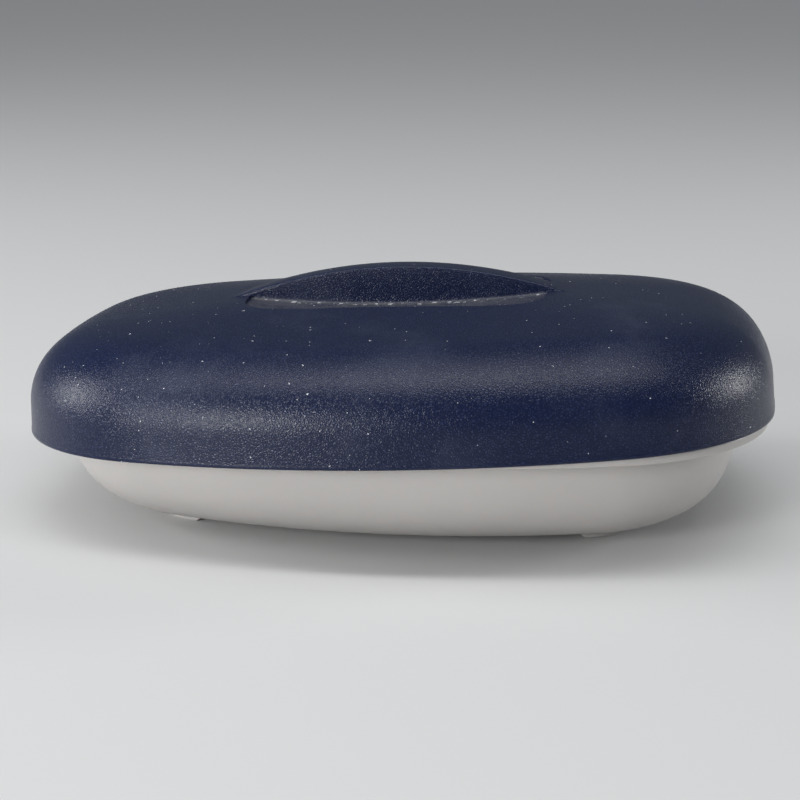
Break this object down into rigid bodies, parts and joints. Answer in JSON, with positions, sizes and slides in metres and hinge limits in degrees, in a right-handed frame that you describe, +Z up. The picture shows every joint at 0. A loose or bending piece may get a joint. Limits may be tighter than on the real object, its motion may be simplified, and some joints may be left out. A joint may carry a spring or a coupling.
{
  "type": "bento lunch box",
  "caption": "Rounded bento lunch box: footed bowl with loose dividers, soft sealing inner lid with pull tab and vent plug, and a domed outer lid with a pinch grip.",
  "frame": {"origin": "on the ground under the middle of the box, at the centre of the bottom of the whole box's bounding box", "axes": "+X along the box to its right end, +Y from the front to the back, +Z up"},
  "size_m": [0.2298, 0.167, 0.0752],
  "materials": {
    "bowl_white": "smooth moulded plastic, satin gloss, light warm grey white",
    "divider_white": "smooth moulded plastic, matt",
    "inner_milky": "soft milky polyethylene, fine satin",
    "silicone": "soft matt silicone",
    "lid_navy": "navy plastic with a fine moulded leather grain, smooth and glossy in the finger scoops"
  },
  "bodies": {
    "bowl": {"base_bowl": "bowl_white"},
    "divider_long": {"divider_long": "divider_white"},
    "divider_cross_left": {"divider_cross_left": "divider_white"},
    "divider_cross_right": {"divider_cross_right": "divider_white"},
    "inner_lid": {"inner_lid": "inner_milky", "seal_ring": "silicone"},
    "vent_plug": {"vent_plug": "silicone"},
    "outer_lid": {"lid_shell": "lid_navy"}
  },
  "joints": [
    {"name": "divider_long_lift", "type": "slide", "parent": "bowl", "child": "divider_long", "axis": [0, 0, 1], "range_m": [0, 0.06]},
    {"name": "divider_cross_left_lift", "type": "slide", "parent": "divider_long", "child": "divider_cross_left", "axis": [0, 0, 1], "range_m": [0, 0.06]},
    {"name": "divider_cross_right_lift", "type": "slide", "parent": "divider_cross_left", "child": "divider_cross_right", "axis": [0, 0, 1], "range_m": [0, 0.06]},
    {"name": "inner_lid_peel", "type": "hinge", "parent": "divider_cross_right", "child": "inner_lid", "pos_m": [-0.10786, 0.04261, 0.028], "axis": [-0.454, -0.891, 0], "range_deg": [-2.88, 55]},
    {"name": "vent_plug_pull", "type": "slide", "parent": "inner_lid", "child": "vent_plug", "axis": [-0.0448, 0.0228, 0.9987], "range_m": [0, 0.005]},
    {"name": "outer_lid_lift", "type": "slide", "parent": "inner_lid", "child": "outer_lid", "axis": [-0.0448, 0.0228, 0.9987], "range_m": [0, 0.12]}
  ]
}
